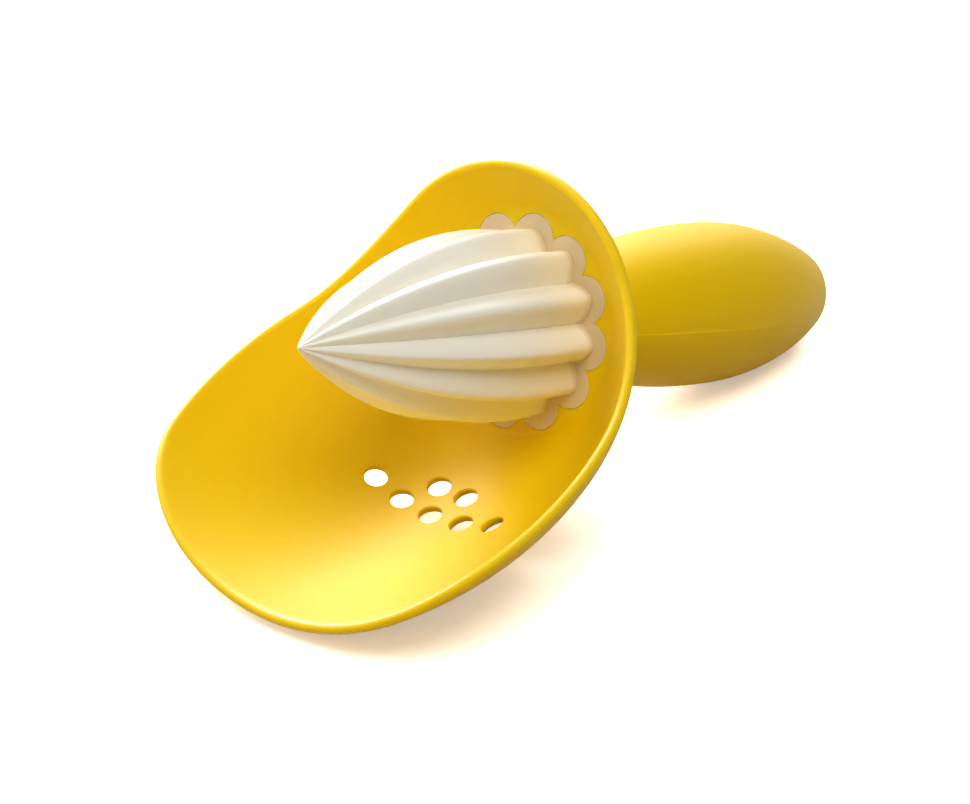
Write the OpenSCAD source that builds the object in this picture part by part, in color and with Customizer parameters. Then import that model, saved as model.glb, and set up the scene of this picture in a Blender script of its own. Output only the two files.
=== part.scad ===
// Hand-held citrus reamer with a scoop that catches pips and pulp.
// It lies as it does on a table: on the belly of the scoop and on the end of the handle.

/* [Reamer] */
// Length from the flange face to the tip
reamer_length = 73; // [62:1:84]
// Number of ribs
rib_count = 12; // [10:1:14]
// Radius over the rib crests at the widest place
crest_radius = 21.8; // [20:0.1:23]
// Distance of the widest place from the flange face
crest_reach = 10; // [6:1:14]
// Depth of the valleys between the ribs at the widest place
rib_depth = 4.4; // [3:0.1:5.5]
// Roundness of the crests, from sharp to soft
crest_softness = 0.22; // [0.1:0.02:0.4]
// Radius of the rounded rib ends at the flange
rib_end_radius = 2.2; // [1.5:0.1:4]
// Share of that radius by which the rib ends drop at the flange
rib_end_share = 0.6; // [0.4:0.05:1]
// Radius of the blunt tip
tip_radius = 0.8; // [0.4:0.1:1.5]
// Wall left between the valleys and the hollow inside
reamer_wall = 2.2; // [1.6:0.1:3]
// Step from the tang to the post inside the reamer
post_step = 1; // [0.5:0.1:2]

/* [Flange] */
// Radius to the tops of the flange lobes
flange_radius = 25; // [24:0.1:26]
// Radius of one flange lobe
lobe_radius = 5.5; // [5:0.1:6.5]
// Thickness of the flange
flange_thickness = 1.6; // [1.2:0.1:2]

/* [Tang] */
// Radius of the tang that ties the reamer to the handle
tang_radius = 6; // [5:0.1:7]
// Length of the tang behind the flange face
tang_length = 27; // [25:1:32]
// Depth of the lock groove round the tang
groove_depth = 1.6; // [1:0.1:2]
// Width of the lock groove
groove_width = 4; // [3:0.5:5]
// Distance of the lock groove behind the flange face
groove_reach = 14; // [12:0.5:15]
// Distance between the two flats that stop the tang turning
tang_flats = 9.6; // [9:0.2:10]
// Length of the flats
flats_length = 8; // [5:0.5:8]

/* [Catcher bowl] */
// Wall of the bowl
bowl_wall = 2.4; // [1.8:0.1:3]
// Thickness of the flat base behind the reamer
bowl_base = 3.6; // [3.2:0.1:5]
// Distance from the flange to the middle of the wall, at the flange face
seat_margin = 3.7; // [3.2:0.1:5]
// Arc of the rear part of the wall
rear_arc = 68.3; // [64:0.1:74]
// Arc of the front part of the wall
front_arc = 128.5; // [118:0.5:138]
// Slope of the wall at the flange face
seat_slope = 50.7; // [48:0.1:54]
// Slope of the wall where the two arcs meet
meet_slope = 24.3; // [22:0.1:27]
// Radius of the soft corner between the wall and the floor round the flange
floor_fillet = 4; // [2:0.1:4.2]
// Depth of the flat on which the bowl rests
rest_flat = 0.4; // [0.2:0.1:0.8]

/* [Rim] */
// Reach of the upright hood behind the reamer
hood_reach = 7.7; // [6.5:0.1:10]
// Reach of the pouring lip
lip_reach = 71.9; // [66:0.1:75]
// Height above the axis where the hood edge starts to sweep forward
sweep_height = 20.9; // [16:0.1:24]
// Slope of the side edge between hood and lip
sweep_angle = 34.9; // [30:0.1:40]
// Arc that leads from the hood into the slope
hood_blend = 36; // [30:0.2:42]
// Arc that leads from the slope into the lip
lip_blend = 37; // [32:0.2:43]

/* [Strainer] */
// Diameter of one strainer hole
hole_diameter = 5.4; // [4:0.1:6]
// Holes in the front row
front_row_holes = 5; // [3:1:7]
// Holes in the rear row
rear_row_holes = 2; // [1:1:4]
// Distance of the front row in front of the flange face
front_row_reach = 18.7; // [17:0.1:22]
// Distance of the rear row in front of the flange face
rear_row_reach = 12; // [11:0.1:12.6]
// Angle between neighbouring holes, about the reamer axis
hole_step = 11.6; // [10:0.2:15]

/* [Handle] */
// Largest radius of the handle
handle_radius = 19.6; // [18:0.1:21]
// Distance of the largest radius behind the flange face
handle_widest = 70.1; // [66:0.1:74]
// Drop of the handle's axis below the reamer's axis
handle_drop = 0.7; // [0:0.1:1.2]
// Length of the handle shells behind the flange face
shell_length = 112.1; // [108:0.1:118]
// Radius of the slim neck behind the bowl
neck_radius = 13; // [12.6:0.1:13.6]
// Arc that flares the neck to the bowl
neck_flare = 14; // [12:0.5:16]
// Arc of the handle between neck and largest radius
front_curve = 214; // [195:1:230]
// Arc of the handle between largest radius and end cap
rear_curve = 110; // [102:1:118]
// Wall of the handle shells
shell_wall = 2.6; // [2:0.1:3.2]
// Length of the solid neck behind the flange face
neck_length = 30; // [28:0.5:36]
// Height of the domed end cap
dome_height = 4.6; // [3:0.1:6]
// Length of the spigot on the end cap
spigot_length = 6; // [4:0.5:8]

/* [Shell details] */
// Number of stiffening rings inside the handle
ring_count = 3; // [2:1:4]
// Thickness of one stiffening ring
ring_width = 1.6; // [1.2:0.1:2]
// Height of one stiffening ring above the shell wall
ring_height = 3; // [2:0.5:4]
// Radius of the locating pegs between the shells
peg_radius = 1.5; // [1.2:0.1:1.8]
// Length of the locating pegs
peg_length = 4; // [3:0.5:5]
// Radius of the pips that key the handle to the bowl
pip_radius = 1.5; // [1.2:0.1:1.8]
// Length of the pips
pip_length = 3; // [2:0.5:4]
// Distance of the pips from the axis
pip_offset = 10.5; // [10:0.1:11.5]

/* [Fits] */
// Gap round pieces that slide into each other
fit_gap = 0.15; // [0.1:0.05:0.25]

/* [Hidden] */
$fn = 128;
bowl_yellow = "#F2C500";
handle_yellow = "#DDBB1E";
reamer_cream = "#F3EDDC";
// Larger than the whole tool, for cutting tools and half planes
far = 400;
// Length by which a cutter runs past the face it cuts
over = 1;
// Overlap that lets neighbouring arcs cross instead of only touching
arc_bite = 0.02;

// Ogive of the crests: one arc from the widest place to the tip
ogive_fall = crest_radius - tip_radius;
ogive_arc = (pow(reamer_length - crest_reach, 2) + ogive_fall * ogive_fall) / (2 * ogive_fall);
rib_pitch = 360 / rib_count;
// Facets of the ribbed skin: steps along the axis and across one rib
skin_rings = 22;
rib_steps = 8;
// The skin starts inside the flange
skin_start = -flange_thickness / 2;
// Hollow inside the reamer, round a central post
hollow_radius = crest_radius - rib_depth - reamer_wall;
hollow_arc = ogive_arc * crest_radius / (crest_radius - rib_depth);
post_radius = tang_radius + post_step;

// Centres of the bowl arcs, as [radius, reach]; the arcs share a tangent where they meet
seat_normal = [cos(seat_slope), -sin(seat_slope)];
meet_normal = [cos(meet_slope), -sin(meet_slope)];
rear_centre = [flange_radius + seat_margin, 0] - rear_arc * seat_normal;
front_centre = rear_centre - (front_arc - rear_arc + arc_bite) * meet_normal;
// Centre of the soft floor corner, which touches the inside of the rear arc and the floor
fillet_arc = rear_arc - bowl_wall / 2 - floor_fillet;
fillet_drop = rear_centre[1] - floor_fillet;
fillet_centre = [rear_centre[0] + sqrt(fillet_arc * fillet_arc - fillet_drop * fillet_drop), floor_fillet];
fillet_normal = (fillet_centre - rear_centre) / fillet_arc;

// Side edge of the rim, as [reach, height]
slope_run = (lip_reach - hood_reach - (hood_blend + lip_blend) * (1 - sin(sweep_angle))) / cos(sweep_angle);
hood_centre = [hood_reach + hood_blend, sweep_height];
slope_normal = [-sin(sweep_angle), -cos(sweep_angle)];
slope_top = hood_centre + hood_blend * slope_normal;
slope_end = slope_top + slope_run * [cos(sweep_angle), -sin(sweep_angle)];
slope_corner = [lip_reach, slope_top[1] - (lip_reach - slope_top[0]) * tan(sweep_angle)];
lip_centre = slope_end + lip_blend * slope_normal;

// Handle arcs, as [radius, reach]; reach is negative behind the flange face
neck_face = -bowl_base;
handle_front_centre = [handle_radius - front_curve, -handle_widest];
handle_rear_centre = [handle_radius - rear_curve, -handle_widest];
flare_radius = neck_radius + neck_flare;
flare_rise = flare_radius - handle_front_centre[0];
flare_span = front_curve + neck_flare;
flare_centre = [flare_radius, -handle_widest + sqrt(flare_span * flare_span - flare_rise * flare_rise)];
flare_joint = handle_front_centre + (flare_centre - handle_front_centre) * front_curve / flare_span;
end_radius = handle_rear_centre[0] + sqrt(pow(rear_curve, 2) - pow(shell_length - handle_widest, 2));
mouth_radius = end_radius - shell_wall;
dome_radius = (end_radius * end_radius + dome_height * dome_height) / (2 * dome_height);

// Resting pose: the common tangent under the front arc of the bowl and the rear arc of the handle
belly_radius = front_arc + bowl_wall / 2;
rest_radius = belly_radius - rest_flat;
rest_run = front_centre[1] - handle_rear_centre[1];
rest_rise = front_centre[0] - handle_rear_centre[0] - handle_drop;
rest_lean = asin((rear_curve - rest_radius) / norm([rest_run, rest_rise]));
rest_tilt = atan2(rest_rise, rest_run) - rest_lean;
rest_height = rest_radius + front_centre[0] * cos(rest_tilt) - front_centre[1] * sin(rest_tilt);
lip_radius = front_centre[0] + sqrt(pow(belly_radius, 2) - pow(lip_reach - front_centre[1], 2));
front_end = -lip_reach * cos(rest_tilt) - lip_radius * sin(rest_tilt);
dome_reach = shell_length + dome_height - dome_radius;
back_end = dome_reach * cos(rest_tilt) - handle_drop * sin(rest_tilt) + dome_radius;

function crest(reach) =
    crest_radius - ogive_arc + sqrt(pow(ogive_arc, 2) - pow(reach - crest_reach, 2));

// Drop of the crests where the rib ends round over to the flange
function end_drop(reach) =
    let (inside = max(0, rib_end_radius - reach) / rib_end_radius)
    rib_end_share * rib_end_radius * (1 - sqrt(max(0, 1 - inside * inside)));

// Height of the rib section from valley (side = -1 or 1) to crest (side = 0)
function rib_shape(side) =
    let (soft = crest_softness)
    1 - (sqrt(side * side + soft * soft) - soft) / (sqrt(1 + soft * soft) - soft);

function skin_radius(reach, side) =
    let (top = crest(max(reach, 0)))
    let (depth = rib_depth * top / crest_radius)
    top - depth + max(0, depth - end_drop(max(reach, 0))) * rib_shape(side);

// Reach of one ring of the skin, closer together at the rib ends and at the tip
function ring_reach(ring) =
    let (share = ring / (skin_rings - 1))
    skin_start + (reamer_length - skin_start) * (1 - cos(180 * share)) / 2;

// The parts are drawn on their own axis, with Z towards the reamer tip and X up, and then laid down
module lay_down() {
    translate([-(front_end + back_end) / 2, 0, rest_height])
        rotate([0, rest_tilt - 90, 0])
            children();
}

// Turns a side view, drawn as [reach, height], into a slab across the tool
module side_slab(width) {
    rotate([-90, -90, 0])
        linear_extrude(width, center = true)
            children();
}

module ribbed_skin() {
    around = rib_count * rib_steps;
    rings = [for (ring = [0 : skin_rings - 1]) for (step = [0 : around - 1])
        let (reach = ring_reach(ring))
        let (radius = skin_radius(reach, 2 * (step % rib_steps) / rib_steps - 1))
        let (angle = (step / rib_steps - 0.5) * rib_pitch)
        [radius * cos(angle), radius * sin(angle), reach]];
    base_point = len(rings);
    tip_point = base_point + 1;
    ends = [[0, 0, skin_start], [0, 0, reamer_length + tip_radius / 2]];
    last_ring = (skin_rings - 1) * around;
    sides = [for (ring = [0 : skin_rings - 2]) for (step = [0 : around - 1])
        let (next = (step + 1) % around)
        let (low = ring * around)
        let (high = low + around)
        each [[low + step, high + step, high + next], [low + step, high + next, low + next]]];
    base_faces = [for (step = [0 : around - 1]) [base_point, step, (step + 1) % around]];
    tip_faces = [for (step = [0 : around - 1])
        [tip_point, last_ring + (step + 1) % around, last_ring + step]];
    polyhedron(points = concat(rings, ends), faces = concat(sides, base_faces, tip_faces), convexity = 8);
}

// Outline of the scalloped flange, one lobe under each rib
module flange_outline(gap = 0) {
    circle(flange_radius - lobe_radius);
    for (rib = [0 : rib_count - 1])
        rotate(rib * rib_pitch)
            translate([flange_radius - lobe_radius, 0])
                circle(lobe_radius + gap);
}

module reamer_hollow() {
    rotate_extrude()
        intersection() {
            translate([hollow_radius - hollow_arc, crest_reach])
                circle(hollow_arc);
            translate([post_radius, -flange_thickness - over])
                square([crest_radius, reamer_length]);
        }
}

module tang() {
    flats_top = -tang_length + flats_length;
    difference() {
        translate([0, 0, -tang_length])
            cylinder(r = tang_radius, h = tang_length - flange_thickness / 2);
        translate([0, 0, -groove_reach - groove_width / 2])
            difference() {
                cylinder(r = tang_radius + over, h = groove_width);
                translate([0, 0, -over])
                    cylinder(r = tang_radius - groove_depth, h = groove_width + 2 * over);
            }
        for (side = [-1, 1])
            translate([-far / 2, side < 0 ? -far - tang_flats / 2 : tang_flats / 2, flats_top - far])
                cube(far);
    }
}

module reamer() {
    color(reamer_cream)
        lay_down() {
            difference() {
                union() {
                    ribbed_skin();
                    translate([0, 0, -flange_thickness])
                        linear_extrude(flange_thickness)
                            flange_outline();
                }
                reamer_hollow();
            }
            tang();
        }
}

// Half section of everything inside the bowl arcs, grown or shrunk from the mid wall
module inside_arcs(growth) {
    translate(rear_centre)
        circle(rear_arc + growth);
    intersection() {
        translate(front_centre)
            circle(front_arc + growth);
        polygon([rear_centre, rear_centre + far * meet_normal, [far, far], [rear_centre[0], far]]);
    }
}

module bowl_section() {
    intersection() {
        difference() {
            inside_arcs(bowl_wall / 2);
            difference() {
                intersection() {
                    inside_arcs(-bowl_wall / 2);
                    translate([-far, 0])
                        square([2 * far, far]);
                }
                difference() {
                    polygon([fillet_centre, [fillet_centre[0], -far], fillet_centre + far * fillet_normal]);
                    translate(fillet_centre)
                        circle(floor_fillet + arc_bite);
                }
            }
        }
        translate([0, -bowl_base])
            square([far, lip_reach + bowl_base + over]);
    }
}

// Side view of what the rim leaves: hood, sweep and lip in one smooth edge
module rim_outline() {
    difference() {
        polygon([[-far, far], [hood_reach, far], [hood_reach, sweep_height], slope_top, slope_corner,
            [lip_reach, -far], [-far, -far]]);
        translate(hood_centre)
            circle(hood_blend + arc_bite);
        difference() {
            polygon([lip_centre, lip_centre - 2 * lip_blend * slope_normal, [far, far],
                lip_centre + [far, 0]]);
            translate(lip_centre)
                circle(lip_blend + arc_bite);
        }
    }
}

// One row of strainer holes, square to the wall and centred on the lowest line of the bowl
module strainer_row(reach, holes) {
    arc_rise = reach - rear_centre[1];
    lean = asin(arc_rise / rear_arc);
    for (hole = [0 : holes - 1])
        rotate((hole - (holes - 1) / 2) * hole_step)
            translate([-rear_centre[0], 0, rear_centre[1]])
                rotate([0, lean - 90, 0])
                    translate([0, 0, rear_arc - 2 * bowl_wall])
                        cylinder(d = hole_diameter, h = 4 * bowl_wall, $fn = 48);
}

module catcher_bowl() {
    color(bowl_yellow)
        difference() {
            lay_down() {
                difference() {
                    intersection() {
                        rotate_extrude()
                            bowl_section();
                        side_slab(far)
                            rim_outline();
                    }
                    translate([0, 0, -flange_thickness])
                        linear_extrude(flange_thickness + over)
                            flange_outline(fit_gap);
                    translate([0, 0, -bowl_base - over])
                        cylinder(r = tang_radius + fit_gap, h = bowl_base + 2 * over);
                    strainer_row(front_row_reach, front_row_holes);
                    strainer_row(rear_row_reach, rear_row_holes);
                }
                for (side = [-1, 1])
                    translate([side * pip_offset, 0, neck_face - pip_length])
                        cylinder(r = pip_radius, h = pip_length);
            }
            translate([-far / 2, -far / 2, -far])
                cube(far);
        }
}

module on_handle_axis() {
    translate([-handle_drop, 0, 0])
        children();
}

// Half section of the handle, with the given wall taken off the curves
module handle_curves(wall) {
    intersection() {
        translate(handle_front_centre)
            circle(front_curve - wall);
        translate([0, -handle_widest])
            square([far, handle_widest + flare_joint[1]]);
    }
    intersection() {
        translate(handle_rear_centre)
            circle(rear_curve - wall);
        translate([0, -shell_length])
            square([far, shell_length - handle_widest]);
    }
}

module handle_section() {
    difference() {
        union() {
            handle_curves(0);
            translate([0, flare_joint[1]])
                square([flare_radius, neck_face - flare_joint[1]]);
        }
        translate(flare_centre)
            circle(neck_flare + arc_bite);
        difference() {
            handle_curves(shell_wall);
            translate([0, -neck_length])
                square([far, far]);
            ring_sections();
        }
        translate([0, -shell_length - over])
            square([mouth_radius, spigot_length + 2 * over]);
    }
}

// Stiffening rings, spread over the hollow of the handle
module ring_sections() {
    hollow = shell_length - neck_length - 2 * spigot_length;
    for (ring = [1 : ring_count])
        translate([0, -neck_length - ring * hollow / (ring_count + 1) - ring_width / 2])
            difference() {
                square([far, ring_width]);
                square([mouth_radius + ring_height, ring_width]);
            }
}

// Socket in the neck that holds the tang by its groove and its flats
module tang_socket() {
    key_length = flats_length - fit_gap;
    difference() {
        translate([0, 0, -tang_length - fit_gap])
            cylinder(r = tang_radius + fit_gap, h = tang_length + over);
        translate([0, 0, -groove_reach - groove_width / 2 + fit_gap])
            difference() {
                cylinder(r = tang_radius + over, h = groove_width - 2 * fit_gap);
                translate([0, 0, -over])
                    cylinder(r = tang_radius - groove_depth + fit_gap, h = groove_width + 2 * over);
            }
        for (side = [-1, 1])
            translate([-far / 2, side < 0 ? -far - tang_flats / 2 - fit_gap : tang_flats / 2 + fit_gap,
                -tang_length - fit_gap + key_length - far])
                cube(far);
    }
}

// Places of the pegs that line the two shells up, in pairs near the side walls
module at_pegs() {
    for (reach = [neck_length + 2 * spigot_length, shell_length - 3 * spigot_length])
        for (side = [-1, 1])
            translate([0, side * (handle_radius / 2 + peg_radius), -reach])
                rotate([0, 90, 0])
                    children();
}

// Upper shell for side = 1, lower shell for side = -1
module handle_shell(side) {
    boss_radius = 2 * peg_radius;
    difference() {
        on_handle_axis()
            difference() {
                union() {
                    rotate_extrude()
                        handle_section();
                    intersection() {
                        at_pegs()
                            cylinder(r = boss_radius, h = 2 * handle_radius, center = true);
                        rotate_extrude()
                            handle_curves(shell_wall / 2);
                    }
                }
                translate([side > 0 ? -far : 0, -far / 2, -far / 2])
                    cube(far);
            }
        tang_socket();
        translate([side * pip_offset, 0, neck_face - pip_length - fit_gap])
            cylinder(r = pip_radius + fit_gap, h = pip_length + fit_gap + over);
    }
}

module handle_upper_shell() {
    color(handle_yellow)
        lay_down()
            difference() {
                handle_shell(1);
                on_handle_axis()
                    at_pegs()
                        cylinder(r = peg_radius + fit_gap, h = 2 * (peg_length + fit_gap), center = true);
            }
}

module handle_lower_shell() {
    color(handle_yellow)
        lay_down() {
            handle_shell(-1);
            on_handle_axis()
                at_pegs()
                    translate([0, 0, -peg_length / 2])
                        cylinder(r = peg_radius, h = peg_length * 3 / 2);
        }
}

module handle_end_cap() {
    color(handle_yellow)
        lay_down()
            on_handle_axis() {
                intersection() {
                    translate([0, 0, -dome_reach])
                        sphere(dome_radius);
                    translate([0, 0, -shell_length - far])
                        cylinder(r = far, h = far);
                }
                translate([0, 0, -shell_length - over])
                    cylinder(r = mouth_radius - fit_gap, h = spigot_length + over);
            }
}

reamer();
catcher_bowl();
handle_upper_shell();
handle_lower_shell();
handle_end_cap();
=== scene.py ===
import math

import bmesh
import bpy
import numpy as np
from mathutils import Matrix, Vector


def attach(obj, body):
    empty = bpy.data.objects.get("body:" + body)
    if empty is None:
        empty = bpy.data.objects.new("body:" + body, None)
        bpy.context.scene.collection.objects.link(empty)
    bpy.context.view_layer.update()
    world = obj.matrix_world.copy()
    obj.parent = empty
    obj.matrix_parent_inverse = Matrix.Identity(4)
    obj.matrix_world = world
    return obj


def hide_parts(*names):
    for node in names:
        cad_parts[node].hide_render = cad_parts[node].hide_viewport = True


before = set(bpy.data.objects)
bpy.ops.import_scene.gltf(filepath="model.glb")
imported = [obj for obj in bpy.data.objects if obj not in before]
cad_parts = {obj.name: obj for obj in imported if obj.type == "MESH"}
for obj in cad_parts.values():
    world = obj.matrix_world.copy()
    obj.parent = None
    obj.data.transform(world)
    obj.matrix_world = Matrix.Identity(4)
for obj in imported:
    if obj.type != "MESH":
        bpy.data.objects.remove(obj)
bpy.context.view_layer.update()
print("frame loaded")

mm = 0.001
weldReach = 0.002  # mm within which the points of a seam are merged
lie = {
    "tilt": 15.2435,  # degrees the reamer's axis rises towards its tip
    "axisHeight": 41.887,  # mm from the table to the flange centre
    "axisShift": -13.898,  # mm from the row's origin to the flange centre
}
tilt = math.radians(lie["tilt"])
toolToRow = Matrix((
    (math.sin(tilt), 0, -math.cos(tilt), lie["axisShift"] * mm),
    (0, 1, 0, 0),
    (math.cos(tilt), 0, math.sin(tilt), lie["axisHeight"] * mm),
    (0, 0, 0, 1),
))  # the pieces are drawn in the tool's frame: z towards the tip, x up


def linear(code):  # sRGB hex to scene-linear colour
    parts = [int(code[i:i + 2], 16) / 255 for i in (1, 3, 5)]
    return tuple(c / 12.92 if c <= 0.04045 else ((c + 0.055) / 1.055) ** 2.4 for c in parts) + (1,)


def addNode(tree, kind, settings=None, inputs=None, links=None):  # one node, set up and linked
    node = tree.nodes.new(kind)
    for name, value in (settings or {}).items():
        setattr(node, name, value)
    for name, value in (inputs or {}).items():
        node.inputs[name].default_value = value
    for name, source in (links or {}).items():
        tree.links.new(source, node.inputs[name])
    return node


def newMaterial(name):
    material = bpy.data.materials.new(name)
    material.use_nodes = True
    material.node_tree.nodes.clear()
    return material, material.node_tree


def paintFlangeShade(tree, place, colour, look):  # painted shade: the flange and rib feet turn darker and yellower for the shade and the bowl's yellow bounce light there, and for the bowl's yellow behind the thin flange
    axis = toolToRow.to_3x3() @ Vector((0, 0, 1))
    flangeFace = axis.dot(toolToRow.translation)
    fadeFrom, fadeTo = [flangeFace + reach * mm for reach in look["flangeShadeFade"]]
    reach = addNode(tree, "ShaderNodeVectorMath", {"operation": "DOT_PRODUCT"}, {1: axis}, {0: place})
    flangeShadeShare = addNode(tree, "ShaderNodeMapRange",
                   inputs={"From Min": fadeFrom, "From Max": fadeTo, "To Min": 1.0, "To Max": 0.0},
                   links={"Value": reach.outputs["Value"]})
    mixed = addNode(tree, "ShaderNodeMix", {"data_type": "RGBA"}, {7: linear(look["flangeShadeColour"])},
                    {0: flangeShadeShare.outputs[0], 6: colour})
    return mixed.outputs[2]


def plasticMaterial(name, look):  # moulded plastic: tinted body, faint mottling, fine moulded grain
    material, tree = newMaterial(name)
    place = addNode(tree, "ShaderNodeTexCoord").outputs["Object"]
    mottle = addNode(tree, "ShaderNodeTexNoise",
                     inputs={"Scale": 1 / (look["mottleSize"] * mm), "Detail": 2.0}, links={"Vector": place})
    tint = addNode(tree, "ShaderNodeMix", {"data_type": "RGBA"},
                   {6: linear(look["colour"]), 7: linear(look["colourShade"])}, {0: mottle.outputs["Fac"]})
    colour = tint.outputs[2]
    # painted shade and yellow bounce light near the flange, together with the yellow seen through it
    if "flangeShadeColour" in look:
        colour = paintFlangeShade(tree, place, colour, look)
    grain = addNode(tree, "ShaderNodeTexNoise",
                    inputs={"Scale": 1 / (look["grainSize"] * mm), "Detail": 3.0}, links={"Vector": place})
    bump = addNode(tree, "ShaderNodeBump",
                   inputs={"Strength": look["grainStrength"], "Distance": look["grainDepth"] * mm},
                   links={"Height": grain.outputs["Fac"]})
    body = addNode(tree, "ShaderNodeBsdfPrincipled",
                   inputs={"Roughness": look["roughness"], "IOR": look["ior"],
                           "Specular IOR Level": look["glossLevel"], "Specular Tint": linear(look["gloss"]),
                           "Subsurface Weight": look["scatter"],
                           "Subsurface Scale": look["scatterDepth"] * mm,
                           "Subsurface Radius": look["scatterTint"]},
                   links={"Base Color": colour, "Normal": bump.outputs["Normal"]})
    addNode(tree, "ShaderNodeOutputMaterial", links={"Surface": body.outputs["BSDF"]})
    return material


# Sizes in mm. Real moulded grain is finer, and is drawn as coarse as it needs to show.
bowlLook = {  # polished mould: satin gleams that stay yellow, and a warm glow where the wall is thin
    "colour": "#F2CC00", "colourShade": "#EFC800", "mottleSize": 40,
    "roughness": 0.45, "ior": 1.49, "gloss": "#FFD39C", "glossLevel": 0.4,
    "grainSize": 0.5, "grainDepth": 0.01, "grainStrength": 0.06,
    "scatter": 0.3, "scatterDepth": 3.0, "scatterTint": (1.0, 0.5, 0.05),
}
handleLook = {  # textured mould: nearly matte, so that its lights are broad and soft
    "colour": "#F8CC00", "colourShade": "#F4C700", "mottleSize": 30,
    "roughness": 0.45, "ior": 1.49, "gloss": "#FFDF70", "glossLevel": 0.18,
    "grainSize": 0.35, "grainDepth": 0.02, "grainStrength": 0.12,
    "scatter": 0.08, "scatterDepth": 1.5, "scatterTint": (1.0, 0.6, 0.1),
}
reamerLook = {  # polished mould: cream with white gleams on the ribs; the flange and rib feet are painted darker and yellower for their shade and the bowl's yellow bounce light, and for the yellow behind the thin flange
    "colour": "#FAF5E6", "colourShade": "#F7F1E0", "mottleSize": 30,
    "roughness": 0.33, "ior": 1.49, "gloss": "#FFFFFF", "glossLevel": 0.42,
    "grainSize": 0.5, "grainDepth": 0.01, "grainStrength": 0.05,
    "scatter": 0.12, "scatterDepth": 1.5, "scatterTint": (1.0, 0.75, 0.4),
    "flangeShadeColour": "#DFC99E", "flangeShadeFade": (0.1, 2.0),  # mm in front of the flange's face, over which the painted shade fades out
}
bowlPlastic = plasticMaterial("moulded polypropylene, lemon yellow", bowlLook)
handlePlastic = plasticMaterial("soft-touch polypropylene, lemon yellow", handleLook)
reamerPlastic = plasticMaterial("moulded polypropylene, cream", reamerLook)
print("materials made")


def newObject(name, verts, faces):
    mesh = bpy.data.meshes.new(name)
    mesh.from_pydata([tuple(v) for v in verts], [], faces)
    made = bpy.data.objects.new(name, mesh)
    bpy.context.scene.collection.objects.link(made)
    return made


def gridFaces(rows, columns, closeRows, closeColumns):  # quads of a grid stored row by row
    faces = []
    for i in range(rows if closeRows else rows - 1):
        for j in range(columns if closeColumns else columns - 1):
            here, above = i * columns, (i + 1) % rows * columns
            nextColumn = (j + 1) % columns
            faces.append((here + j, here + nextColumn, above + nextColumn, above + j))
    return faces


def faceOutwards(mesh):  # closes the seams and turns the normals outwards
    work = bmesh.new()
    work.from_mesh(mesh)
    bmesh.ops.remove_doubles(work, verts=work.verts, dist=weldReach * mm)
    bmesh.ops.recalc_face_normals(work, faces=work.faces)
    work.to_mesh(mesh)
    work.free()


def settle(piece, material, sharpAngle):  # finishes a piece and lays it down in the row's frame
    mesh = piece.data
    faceOutwards(mesh)
    mesh.materials.clear()
    mesh.materials.append(material)
    mesh.transform(toolToRow)
    for polygon in mesh.polygons:
        polygon.use_smooth = True
        polygon.material_index = 0
    mesh.set_sharp_from_angle(angle=math.radians(sharpAngle))
    mesh.update()


def onTurn(radius, reach, turn):  # point at a radius and reach, turned about the reamer's axis
    return np.array([radius * math.cos(turn), radius * math.sin(turn), reach])


bowl = {
    "wall": 2.4, "base": 3.6,  # mm
    "seatMargin": 3.7, "seatSlope": 50.7,  # distance from the flange to the mid wall, and its slope there
    "rearArc": 68.3, "frontArc": 128.5, "meetSlope": 24.3,  # arcs of the wall, and its slope where they meet
    "hoodReach": 7.7, "lipReach": 71.9, "hoodBlend": 36, "lipBlend": 37,  # rim in side view
    "sweepHeight": 20.9, "sweepAngle": 34.9,  # slope between hood and lip
    "floorRadius": 25.5, "filletReach": 7.0,  # flat round the flange, and the soft corner beyond it
    "rimClear": 1,  # mm that the soft corner keeps from the rim
    "pocketDepth": 1.6, "pocketGap": 0.05, "pocketEdge": 0.06, "hubRadius": 6.15,
    "restLift": 0.02,  # mm from the table to the flat on which the bowl rests
    "around": 288, "along": 46, "rimSteps": 9, "filletSteps": 8, "baseRings": (16, 22), "sharpAngle": 38,
}
flange = {  # mm, with a lobe under each rib
    "radius": 25, "lobeRadius": 5.5, "lobes": 12, "thickness": 1.6, "edgeRadius": 0.2,
}

halfWall = bowl["wall"] / 2
seatSlope, meetSlope = math.radians(bowl["seatSlope"]), math.radians(bowl["meetSlope"])
seatNormal = np.array([math.cos(seatSlope), -math.sin(seatSlope)])
meetNormal = np.array([math.cos(meetSlope), -math.sin(meetSlope)])
rearCentre = np.array([flange["radius"] + bowl["seatMargin"], 0]) - bowl["rearArc"] * seatNormal
frontCentre = rearCentre - (bowl["frontArc"] - bowl["rearArc"]) * meetNormal
arcsMeet = frontCentre[1] + bowl["frontArc"] * meetNormal[1]


def midWall(reach):  # radius and wall normal (radial, axial) of the middle of the bowl wall
    centre, arc = (rearCentre, bowl["rearArc"]) if reach < arcsMeet else (frontCentre, bowl["frontArc"])
    sine = (reach - centre[1]) / arc
    cosine = math.sqrt(1 - sine * sine)
    return centre[0] + arc * cosine, cosine, sine


def wallPoint(reach, turn, offset):  # point of the wall, offset from its middle
    radius, radial, axial = midWall(reach)
    return onTurn(radius + offset * radial, reach + offset * axial, turn)


def startReach(target, side):  # where the rear wall's outer (1) or inner (-1) face meets a plane
    share = side * halfWall / bowl["rearArc"]
    return (target + share * rearCentre[1]) / (1 + share)


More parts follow.
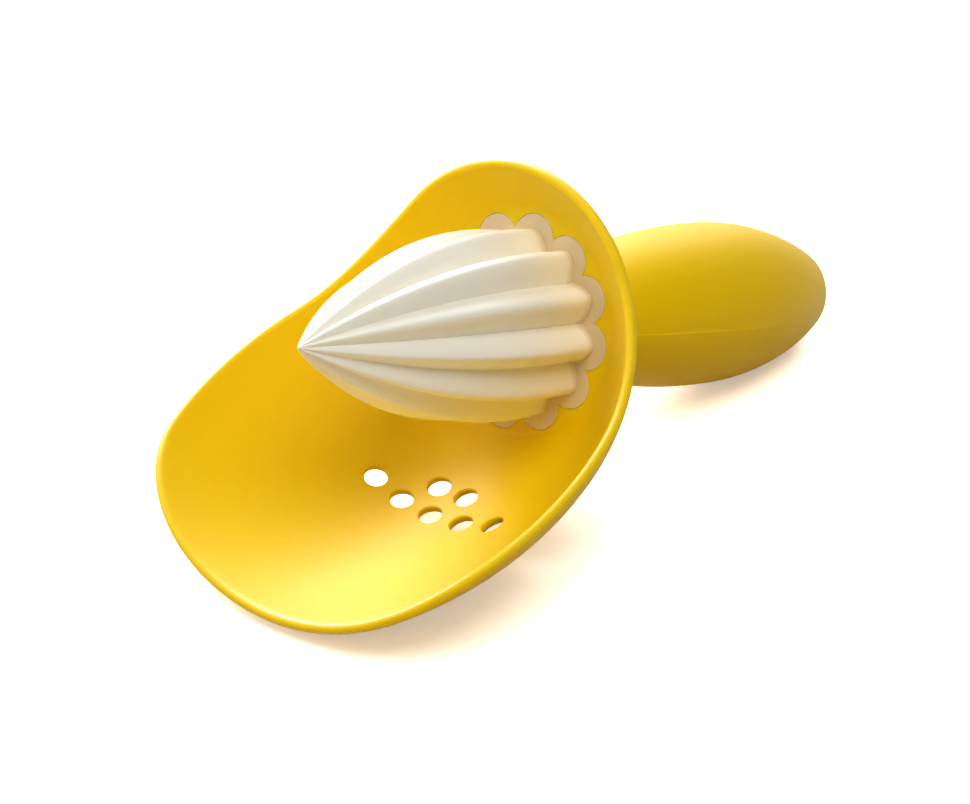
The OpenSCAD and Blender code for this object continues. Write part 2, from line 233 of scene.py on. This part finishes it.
def rimReach(height):  # how far the middle of the rim's bead reaches at a height over the axis, in side view
    angle = math.radians(bowl["sweepAngle"])
    hood, lip = bowl["hoodReach"] - halfWall, bowl["lipReach"] - halfWall
    hoodBlend, lipBlend = bowl["hoodBlend"] + halfWall, bowl["lipBlend"] - halfWall
    run = (lip - hood - (hoodBlend + lipBlend) * (1 - math.sin(angle))) / math.cos(angle)
    hoodCentre = np.array([hood + hoodBlend, bowl["sweepHeight"]])
    normal = np.array([-math.sin(angle), -math.cos(angle)])
    top = hoodCentre + hoodBlend * normal
    end = top + run * np.array([math.cos(angle), -math.sin(angle)])
    lipCentre = end + lipBlend * normal
    if height >= hoodCentre[1]:
        return hood
    if height >= top[1]:
        return hoodCentre[0] - math.sqrt(hoodBlend ** 2 - (height - hoodCentre[1]) ** 2)
    if height >= end[1]:
        return top[0] + (top[1] - height) / math.tan(angle)
    if height >= lipCentre[1]:
        return lipCentre[0] + math.sqrt(lipBlend ** 2 - (height - lipCentre[1]) ** 2)
    return lip


def rimAt(turn):  # reach at which the wall meets the rim, at an angle from straight up
    stride, halvings = 0.5, 40  # mm of the first search, and how often its last stride is halved
    beyond = lambda reach: reach - rimReach(midWall(reach)[0] * math.cos(turn))
    low = 0.0
    high = low
    while beyond(high) < 0:
        low = high
        high += stride
    for halving in range(halvings):
        middle = (low + high) / 2
        low, high = (middle, high) if beyond(middle) < 0 else (low, middle)
    return (low + high) / 2


def lobeRadius(turn, gap):  # scalloped outline of the flange
    pitch = 2 * math.pi / flange["lobes"]
    off = (turn + pitch / 2) % pitch - pitch / 2
    reach = flange["radius"] - flange["lobeRadius"]
    size = flange["lobeRadius"] + gap
    return reach * math.cos(off) + math.sqrt(size ** 2 - (reach * math.sin(off)) ** 2)


def beadPoints(rimLine, k, reach, turn):  # half-round edge from the outer to the inner face
    radial, axial = midWall(reach)[1:]
    normal = onTurn(radial, axial, turn)
    along = rimLine[(k + 1) % len(rimLine)] - rimLine[k - 1]
    along /= np.linalg.norm(along)
    outward = np.cross(along, normal)
    outward /= np.linalg.norm(outward)
    if outward @ onTurn(-axial, radial, turn) < 0:
        outward = -outward
    angles = [math.pi * i / bowl["rimSteps"] for i in range(1, bowl["rimSteps"])]
    return [rimLine[k] + halfWall * (math.cos(a) * normal + math.sin(a) * outward) for a in angles]


def floorPoints(last, corner, turn):  # soft corner of the floor, then the pocket for the flange
    flat = onTurn(bowl["floorRadius"], 0, turn)
    shares = [i / bowl["filletSteps"] for i in range(1, bowl["filletSteps"])]
    points = [(1 - u) ** 2 * last + 2 * u * (1 - u) * corner + u * u * flat for u in shares]
    pocket, edge, depth = lobeRadius(turn, bowl["pocketGap"]), bowl["pocketEdge"], bowl["pocketDepth"]
    profile = [(pocket + edge, 0), (pocket, -edge), (pocket, -depth), (bowl["hubRadius"], -depth)]
    return points + [flat] + [onTurn(radius, reach, turn) for radius, reach in profile]


def bowlMesh():
    turns = [2 * math.pi * k / bowl["around"] for k in range(bowl["around"])]
    rim = [rimAt(turn) for turn in turns]
    rimLine = np.array([wallPoint(reach, turn, 0) for reach, turn in zip(rim, turns)])
    outerStart, innerStart = startReach(-bowl["base"], 1), startReach(0, -1)
    shares = [i / (bowl["along"] - 1) for i in range(bowl["along"])]
    columns = []
    for k, turn in enumerate(turns):
        points = [onTurn(radius, -bowl["base"], turn) for radius in (bowl["hubRadius"], *bowl["baseRings"])]
        points += [wallPoint(outerStart + (rim[k] - outerStart) * u, turn, halfWall) for u in shares]
        points += beadPoints(rimLine, k, rim[k], turn)
        filletEnd = min(innerStart + bowl["filletReach"], rim[k] - bowl["rimClear"])
        points += [wallPoint(rim[k] + (filletEnd - rim[k]) * u, turn, -halfWall) for u in shares]
        points += floorPoints(points[-1], wallPoint(innerStart, turn, -halfWall), turn)
        columns.append(points)
    grid = np.array(columns).transpose(1, 0, 2) * mm
    return newObject("bowl", grid.reshape(-1, 3), gridFaces(len(grid), bowl["around"], True, True))


strainer = {
    "holeDiameter": 5.4, "edgeRadius": {-1: 0.3, 1: 1.7},  # mm, edges inside and outside the bowl
    "frontHoles": 5, "rearHoles": 2, "frontReach": 18.7, "rearReach": 12,
    "step": 11.6,  # degrees between neighbouring holes
    "around": 48, "flareSteps": 6, "runOut": 1.5,  # mm the drill passes each face
}


def holeDrill(name, reach):  # drill with flared ends, on the bowl's lowest line and square to the wall
    radius, around = strainer["holeDiameter"] / 2, strainer["around"]
    angles = [math.pi / 2 * i / strainer["flareSteps"] for i in range(strainer["flareSteps"] + 1)]
    profile = []
    for side, soft in strainer["edgeRadius"].items():
        flare = [(side * (halfWall - soft + soft * math.sin(a)), radius + soft * (1 - math.cos(a)))
                 for a in angles]
        flare.append((side * (halfWall + strainer["runOut"]), radius + soft))
        profile += flare[::-1] if side < 0 else flare
    wallRadius, radial, axial = midWall(reach)
    centre = np.array([-wallRadius, 0, reach])
    normal = np.array([-radial, 0, axial])
    across = np.array([0, 1, 0])
    other = np.cross(normal, across)
    turns = [2 * math.pi * k / around for k in range(around)]
    verts = [(centre + depth * normal + r * (math.cos(t) * across + math.sin(t) * other)) * mm
             for depth, r in profile for t in turns]
    faces = gridFaces(len(profile), around, False, True)
    faces.append(tuple(range(around)))
    faces.append(tuple(range(len(verts) - around, len(verts)))[::-1])
    drill = newObject(name, verts, faces)
    faceOutwards(drill.data)
    return drill


def groupSocket(group, name, kind, way="INPUT"):
    return group.interface.new_socket(name=name, in_out=way, socket_type="NodeSocket" + kind).identifier


def newGroup(name, inputs):  # node group that changes a geometry, with its named inputs
    tree = bpy.data.node_groups.new(name, "GeometryNodeTree")
    sockets = {key: groupSocket(tree, key, kind) for key, kind in {"Geometry": "Geometry", **inputs}.items()}
    groupSocket(tree, "Geometry", "Geometry", "OUTPUT")
    return tree, sockets, addNode(tree, "NodeGroupInput").outputs


def turnedCopies(tree, shape, count, first, step):  # copies of a shape turned about the reamer's axis
    points = addNode(tree, "GeometryNodePoints", links={"Count": count})
    index = addNode(tree, "GeometryNodeInputIndex")
    place = addNode(tree, "ShaderNodeMath", {"operation": "ADD"}, links={0: index.outputs[0], 1: first})
    angle = addNode(tree, "ShaderNodeMath", {"operation": "MULTIPLY"}, links={0: place.outputs[0], 1: step})
    spin = addNode(tree, "ShaderNodeCombineXYZ", links={"Z": angle.outputs[0]})
    copies = addNode(tree, "GeometryNodeInstanceOnPoints",
                     links={"Points": points.outputs[0], "Instance": shape, "Rotation": spin.outputs[0]})
    return copies.outputs[0]


def paintAndEnd(tree, geometry, material):
    paint = addNode(tree, "GeometryNodeSetMaterial", links={"Geometry": geometry, "Material": material})
    addNode(tree, "NodeGroupOutput", links={0: paint.outputs[0]})


def strainerGroup():
    tree, sockets, given = newGroup("strainer holes", {
        "Front Drill": "Object", "Front Holes": "Int", "Rear Drill": "Object", "Rear Holes": "Int",
        "Hole Step": "Float", "Material": "Material"})
    joined = addNode(tree, "GeometryNodeJoinGeometry")
    for row in ("Front", "Rear"):  # each row is centred on the lowest line
        drill = addNode(tree, "GeometryNodeObjectInfo", links={"Object": given[row + " Drill"]})
        holes = given[row + " Holes"]
        less = addNode(tree, "ShaderNodeMath", {"operation": "SUBTRACT"}, {1: 1.0}, {0: holes})
        half = addNode(tree, "ShaderNodeMath", {"operation": "MULTIPLY"}, {1: -0.5}, {0: less.outputs[0]})
        copies = turnedCopies(tree, drill.outputs["Geometry"], holes, half.outputs[0], given["Hole Step"])
        tree.links.new(copies, joined.inputs[0])
    real = addNode(tree, "GeometryNodeRealizeInstances", links={0: joined.outputs[0]})
    cut = addNode(tree, "GeometryNodeMeshBoolean", {"operation": "DIFFERENCE", "solver": "EXACT"},
                  links={"Mesh 1": given["Geometry"], "Mesh 2": real.outputs[0]})
    paintAndEnd(tree, cut.outputs[0], given["Material"])
    return tree, sockets


def useGroup(piece, group, sockets, values):  # runs a node group on a piece and keeps the result as its mesh
    modifier = piece.modifiers.new(group.name, "NODES")
    modifier.node_group = group
    for name, value in values.items():
        modifier[sockets[name]] = value
    graph = bpy.context.evaluated_depsgraph_get()
    mesh = bpy.data.meshes.new_from_object(piece.evaluated_get(graph))
    piece.modifiers.remove(modifier)
    piece.data = mesh


bowlPiece = bowlMesh()
drills = {row: holeDrill(row + "Drill", strainer[row + "Reach"]) for row in ("front", "rear")}
useGroup(bowlPiece, *strainerGroup(), {
    "Front Drill": drills["front"], "Front Holes": strainer["frontHoles"],
    "Rear Drill": drills["rear"], "Rear Holes": strainer["rearHoles"],
    "Hole Step": math.radians(strainer["step"]), "Material": bowlPlastic})
for drill in drills.values():
    bpy.data.objects.remove(drill)
settle(bowlPiece, bowlPlastic, bowl["sharpAngle"])
for vertex in bowlPiece.data.vertices:
    vertex.co.z = max(vertex.co.z, bowl["restLift"] * mm)
print("bowl made")


reamer = {
    "length": 73, "crestRadius": 21.8, "crestReach": 10, "tipRadius": 0.8,  # mm
    "ribDepth": 4.4, "crestSoftness": 0.22, "endRadius": 2.2, "endShare": 0.4,  # ribs and their rounded ends
    "footSoftness": 0.45, "footReach": 22,  # ribs grow rounder towards the flange
    "filletReach": 1.8, "filletOut": 1.0,  # soft corner between ribs and flange
    "tangRadius": 6, "tangLength": 27, "grooveDepth": 1.6, "groove": (12, 16),  # mm behind the flange face
    "across": 24, "along": 84, "edgeSteps": 3, "flangeShares": (0.4, 0.8), "sharpAngle": 40,
}


def skinRadius(reach, side):  # radius of the ribbed skin; side -1 and 1 are valleys, 0 is the crest
    fall = reamer["crestRadius"] - reamer["tipRadius"]
    arc = ((reamer["length"] - reamer["crestReach"]) ** 2 + fall ** 2) / (2 * fall)
    top = reamer["crestRadius"] - arc + math.sqrt(arc ** 2 - (reach - reamer["crestReach"]) ** 2)
    depth = reamer["ribDepth"] * top / reamer["crestRadius"]
    inside = max(0, reamer["endRadius"] - reach) / reamer["endRadius"]
    drop = reamer["endShare"] * reamer["endRadius"] * (1 - math.sqrt(max(0, 1 - inside ** 2)))
    near = max(0, 1 - reach / reamer["footReach"])
    soft = reamer["crestSoftness"] + (reamer["footSoftness"] - reamer["crestSoftness"]) * near
    shape = 1 - (math.sqrt(side * side + soft * soft) - soft) / (math.sqrt(1 + soft * soft) - soft)
    foot = reamer["filletOut"] * max(0, 1 - reach / reamer["filletReach"]) ** 2
    return top - depth + max(0, depth - drop) * shape + foot


def ribProfile(side, lobe):  # from the tip over the skin, the flange's edge and the tang to the tang's end
    last = reamer["along"] - 1
    reaches = [reamer["length"] * (1 + math.cos(math.pi * i / last)) / 2 for i in range(reamer["along"])]
    edge, thick = flange["edgeRadius"], flange["thickness"]
    angles = [math.pi / 2 * i / reamer["edgeSteps"] for i in range(reamer["edgeSteps"] + 1)]
    tang, tangEnd = reamer["tangRadius"], -reamer["tangLength"]
    neck = tang - reamer["grooveDepth"]
    front, rear = [-reach for reach in reamer["groove"]]
    profile = [(0, reamer["length"] + reamer["tipRadius"] / 2)]
    profile += [(skinRadius(reach, side), reach) for reach in reaches]
    foot = profile[-1][0]
    profile += [(foot + (lobe - edge - foot) * share, 0) for share in reamer["flangeShares"]]
    profile += [(lobe - edge + edge * math.sin(a), edge * (math.cos(a) - 1)) for a in angles]
    profile += [(lobe, -thick), (tang, -thick), (tang, front), (neck, front), (neck, rear), (tang, rear)]
    return profile + [(tang, tangEnd), (0, tangEnd)]


def ribMesh():  # one rib with its flange lobe and its slice of the tang
    pitch = 2 * math.pi / flange["lobes"]
    ownLobe = 0.9999  # keeps the slice's edges on its own lobe
    columns = []
    for j in range(reamer["across"] + 1):
        side = 2 * j / reamer["across"] - 1
        turn = side * pitch / 2
        profile = ribProfile(side, lobeRadius(turn * ownLobe, 0))
        columns.append([onTurn(radius, reach, turn) for radius, reach in profile])
    grid = np.array(columns).transpose(1, 0, 2) * mm
    faces = gridFaces(len(grid), reamer["across"] + 1, False, False)
    return newObject("reamer_cone", grid.reshape(-1, 3), faces)


def ribGroup():
    tree, sockets, given = newGroup("ring of ribs", {
        "Ribs": "Int", "First Rib": "Float", "Rib Pitch": "Float", "Weld": "Float", "Material": "Material"})
    ring = turnedCopies(tree, given["Geometry"], given["Ribs"], given["First Rib"], given["Rib Pitch"])
    real = addNode(tree, "GeometryNodeRealizeInstances", links={0: ring})
    weld = addNode(tree, "GeometryNodeMergeByDistance",
                   links={"Geometry": real.outputs[0], "Distance": given["Weld"]})
    paintAndEnd(tree, weld.outputs[0], given["Material"])
    return tree, sockets


reamerPiece = ribMesh()
useGroup(reamerPiece, *ribGroup(), {
    "Ribs": flange["lobes"], "First Rib": 0.0, "Rib Pitch": 2 * math.pi / flange["lobes"],
    "Weld": weldReach * mm, "Material": reamerPlastic})
settle(reamerPiece, reamerPlastic, reamer["sharpAngle"])
print("reamer made")


handle = {
    "radius": 19.6, "widest": 70.1, "length": 112.1, "neckRadius": 13, "neckFlare": 14,  # mm
    "frontCurve": 214, "rearCurve": 110, "wall": 2.6, "neckLength": 30, "bore": 6.15,
    "drop": 0.7,  # mm the handle's axis lies below the reamer's axis
    "seamStep": 0.2,  # mm the lower half stands proud along the seam
    "seamBevel": 0.9, "seamAngle": 15,  # degrees of its bevel and of its fade
    "seamFade": (55, 90),  # mm behind the flange between which the seam closes up
    "around": 72, "along": 80, "sharpAngle": 33,
}
handleFront = np.array([handle["radius"] - handle["frontCurve"], -handle["widest"]])
handleRear = np.array([handle["radius"] - handle["rearCurve"], -handle["widest"]])
flareRadius = handle["neckRadius"] + handle["neckFlare"]
flareSpan = handle["frontCurve"] + handle["neckFlare"]
flareCentre = np.array([flareRadius,
                        -handle["widest"] + math.sqrt(flareSpan ** 2 - (flareRadius - handleFront[0]) ** 2)])
flareJoint = handleFront + (flareCentre - handleFront) * handle["frontCurve"] / flareSpan


def handleRadius(reach):  # the neck's flare, a long arc to the widest place and a short one to the end
    if reach > flareJoint[1]:
        return flareCentre[0] - math.sqrt(handle["neckFlare"] ** 2 - (reach - flareCentre[1]) ** 2)
    before = reach > -handle["widest"]
    centre, arc = (handleFront, handle["frontCurve"]) if before else (handleRear, handle["rearCurve"])
    return centre[0] + math.sqrt(arc ** 2 - (reach - centre[1]) ** 2)


def shellPoint(radius, facing, turn, reach):  # point about the handle's axis, above (1) or below (-1) it
    return facing * radius * math.cos(turn) - handle["drop"], radius * math.sin(turn), reach


def shellMesh(name, facing):  # one half of the handle, closed along the seam
    neck = -bowl["base"]
    last = handle["along"] - 1
    reaches = [neck + (-handle["length"] - neck) * i / last for i in range(handle["along"])]
    bevel, half = handle["seamBevel"], 90
    even = [-half + 2 * half * i / handle["around"] for i in range(1, handle["around"])]
    steps = [-half, -half + bevel, *even, half - bevel, half]  # degrees from seam to seam
    lean = math.degrees(math.asin(handle["drop"] / handle["bore"]))
    opens, closes = handle["seamFade"]
    columns = []
    for step in steps:
        away = half - abs(step)
        ramp = min(away / bevel, max(0.0, 1 - (away - bevel) / handle["seamAngle"]))
        proud = handle["seamStep"] * ramp if facing < 0 else 0.0
        turn = math.radians(step)
        boreTurn = math.radians(step * (half + facing * lean) / half)  # the bore stays on the reamer's axis
        column = []
        for z in reaches:
            fade = min(1.0, max(0.0, (closes + z) / (closes - opens)))
            column.append(shellPoint(handleRadius(z) + proud * fade, facing, turn, z))
        for z in reaches[::-1]:
            bore = (facing * handle["bore"] * math.cos(boreTurn), handle["bore"] * math.sin(boreTurn), z)
            hollow = shellPoint(handleRadius(z) - handle["wall"], facing, turn, z)
            column.append(hollow if z < -handle["neckLength"] else bore)
        columns.append(column)
    count = len(columns[0])
    verts = np.array(columns).reshape(-1, 3) * mm
    faces = gridFaces(len(steps), count, False, True)
    faces.append(tuple(range(count)))
    faces.append(tuple(range(len(verts) - count, len(verts)))[::-1])
    return newObject(name, verts, faces)


endCap = {
    "domeHeight": 4.59, "spigotRadius": 8.5, "spigotLength": 6, "chamfer": 0.4,  # mm
    "edge": 0.35, "edgeShare": 0.3, "domeShare": 0.97,  # broken edge, and where it runs into the dome
    "around": 144, "along": 24,
}


def capMesh():  # domed plug with a spigot inside the shells
    length, endRadius = handle["length"], handleRadius(-handle["length"])
    edge, broken = endCap["edge"], endCap["edge"] * endCap["edgeShare"]
    spigot, chamfer, front = endCap["spigotRadius"], endCap["chamfer"], endCap["spigotLength"] - length
    dome = (endRadius ** 2 + endCap["domeHeight"] ** 2) / (2 * endCap["domeHeight"])
    centre = -length - endCap["domeHeight"] + dome
    opening = math.asin(endRadius / dome) * endCap["domeShare"]
    angles = [opening * (1 - i / endCap["along"]) for i in range(endCap["along"] + 1)]
    profile = [(0, front), (spigot - chamfer, front), (spigot, front - chamfer), (spigot, -length),
               (endRadius - edge, -length), (endRadius - broken, -length - broken)]
    profile += [(dome * math.sin(a), centre - dome * math.cos(a)) for a in angles]
    turns = [2 * math.pi * k / endCap["around"] for k in range(endCap["around"])]
    verts = np.array([shellPoint(radius, 1, turn, reach) for radius, reach in profile for turn in turns]) * mm
    return newObject("handle_cap", verts, gridFaces(len(profile), endCap["around"], False, True))


upperShell = shellMesh("handle_top", 1)
lowerShell = shellMesh("handle_bottom", -1)
capPiece = capMesh()
for piece in (upperShell, lowerShell, capPiece):
    settle(piece, handlePlastic, handle["sharpAngle"])
print("handle made")

for piece, node, slot in (
        (bowlPiece, "catcher_bowl", "bowl_plastic"), (reamerPiece, "reamer", "reamer_plastic"),
        (upperShell, "handle_upper_shell", "handle_plastic"),
        (lowerShell, "handle_lower_shell", "handle_plastic"),
        (capPiece, "handle_end_cap", "handle_plastic")):
    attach(piece, "root")
    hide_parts(node)
print("pieces ride on the root")


studio = {
    "paper": "#F2F0EC", "paperBounce": "#C4B8A2",  # floor as seen, and as it lights the tool
    "paperGain": 2.3, "paperLift": 0.36, "paperGlow": "#FFF5E8",  # camera-only exposure of the paper
    "paperReach": 4,  # metres from the middle to the paper's edge
    "sky": 0.12, "white": 1.0,  # soft fill, and the background as it is seen
    "aim": (-0.02, 0, 0.03),  # metres, where the lamps point
    "lamps": {  # place and size in metres, power in watts
        "key softbox": ((-0.07, 0.82, 0.77), 0.9, 9.6),
        "high softbox": ((-0.33, -0.37, 1.02), 0.8, 7.2),
        "left softbox": ((-0.59, 0.86, 0.41), 0.8, 2.6),
        "front softbox": ((-0.82, -0.66, 0.41), 0.8, 0.4),
        "rear softbox": ((0.83, 0.49, 0.53), 0.8, 3.8),
    },
    "sheenCard": ((0.32, 0.83, 0.65), 0.75, 53.0),
}


def backgroundRays(tree):  # 1 where the camera, a gloss or a clear piece looks at the background
    path = addNode(tree, "ShaderNodeLightPath").outputs
    most = path["Is Camera Ray"]
    for kind in ("Is Glossy Ray", "Is Transmission Ray"):
        larger = addNode(tree, "ShaderNodeMath", {"operation": "MAXIMUM"}, links={0: most, 1: path[kind]})
        most = larger.outputs[0]
    return most


def paperMaterial():  # matte paper: plain, pale and without gloss, white to the camera and with soft shadows
    material, tree = newMaterial("matte white paper")
    byCamera = addNode(tree, "ShaderNodeLightPath").outputs["Is Camera Ray"]
    exposed = [c * studio["paperGain"] for c in linear(studio["paper"])]
    shade = addNode(tree, "ShaderNodeMix", {"data_type": "RGBA"},
                    {6: linear(studio["paperBounce"]), 7: linear(studio["paper"])}, {0: backgroundRays(tree)})
    shown = addNode(tree, "ShaderNodeMix", {"data_type": "RGBA"}, {7: exposed},
                    {0: byCamera, 6: shade.outputs[2]})
    paper = addNode(tree, "ShaderNodeBsdfDiffuse", links={"Color": shown.outputs[2]})
    lift = addNode(tree, "ShaderNodeMath", {"operation": "MULTIPLY"}, {1: studio["paperLift"]}, {0: byCamera})
    glow = addNode(tree, "ShaderNodeEmission", inputs={"Color": linear(studio["paperGlow"])},
                   links={"Strength": lift.outputs[0]})
    both = addNode(tree, "ShaderNodeAddShader", links={0: paper.outputs[0], 1: glow.outputs[0]})
    addNode(tree, "ShaderNodeOutputMaterial", links={"Surface": both.outputs[0]})
    return material


def addLamp(name, place, size, power):
    lamp = bpy.data.lights.new(name, "AREA")
    lamp.shape = "DISK"
    lamp.size = size
    lamp.energy = power
    made = bpy.data.objects.new(name, lamp)
    made.location = place
    made.rotation_mode = "QUATERNION"
    made.rotation_quaternion = (Vector(studio["aim"]) - Vector(place)).to_track_quat("-Z", "Y")
    bpy.context.scene.collection.objects.link(made)
    return made


reach = studio["paperReach"]
corners = [(x * reach, y * reach, 0) for x, y in ((-1, -1), (1, -1), (1, 1), (-1, 1))]
floor = newObject("floor", corners, [(0, 1, 2, 3)])
floor.data.materials.append(paperMaterial())

world = bpy.data.worlds.new("studio")
bpy.context.scene.world = world
world.use_nodes = True
worldTree = world.node_tree
worldTree.nodes.clear()
level = addNode(worldTree, "ShaderNodeMix", {"data_type": "FLOAT"}, {2: studio["sky"], 3: studio["white"]},
                {0: backgroundRays(worldTree)})
sky = addNode(worldTree, "ShaderNodeBackground", inputs={"Color": (1, 1, 1, 1)},
              links={"Strength": level.outputs[0]})
addNode(worldTree, "ShaderNodeOutputWorld", links={"Surface": sky.outputs[0]})

for name, (place, size, power) in studio["lamps"].items():
    addLamp(name, place, size, power)
card = addLamp("sheen card", *studio["sheenCard"])
card.visible_diffuse = False  # only mirrored, as a soft gleam on the pouring lip
card.visible_transmission = False
print("stage and lights made")


shot = {
    "azimuth": -50.3, "elevation": 25.89,  # degrees
    "lean": -0.835,  # degrees the camera leans along the tool
    "distance": 0.6743,  # metres from the flange centre
    "sensor": 36,  # mm
    "focalPixels": 3000, "imageWidth": 970, "imageHeight": 804,
    "flangeAt": (518.0, 321.5),  # pixel where the flange centre lies
}
camera = bpy.data.cameras.new("camera")
camera.sensor_width = shot["sensor"]
camera.lens = shot["sensor"] * shot["focalPixels"] / shot["imageWidth"]
cameraObject = bpy.data.objects.new("camera", camera)
bpy.context.scene.collection.objects.link(cameraObject)
azimuth, elevation = math.radians(shot["azimuth"]), math.radians(shot["elevation"])
flat = math.cos(elevation)
back = Vector((math.sin(azimuth) * flat, -math.cos(azimuth) * flat, math.sin(elevation)))
lean = Matrix.Rotation(math.radians(shot["lean"]), 4, "Y").to_quaternion()
cameraObject.location = toolToRow.translation + lean @ back * shot["distance"]
flangeX, flangeY = shot["flangeAt"]
aim = Vector((flangeX - shot["imageWidth"] / 2, shot["imageHeight"] / 2 - flangeY, -shot["focalPixels"]))
offCentre = aim.rotation_difference(Vector((0, 0, -1)))
cameraObject.rotation_mode = "QUATERNION"
cameraObject.rotation_quaternion = lean @ (-back).to_track_quat("-Z", "Y") @ offCentre
bpy.context.scene.camera = cameraObject
bpy.context.scene.view_settings.view_transform = "Standard"
print("camera made")
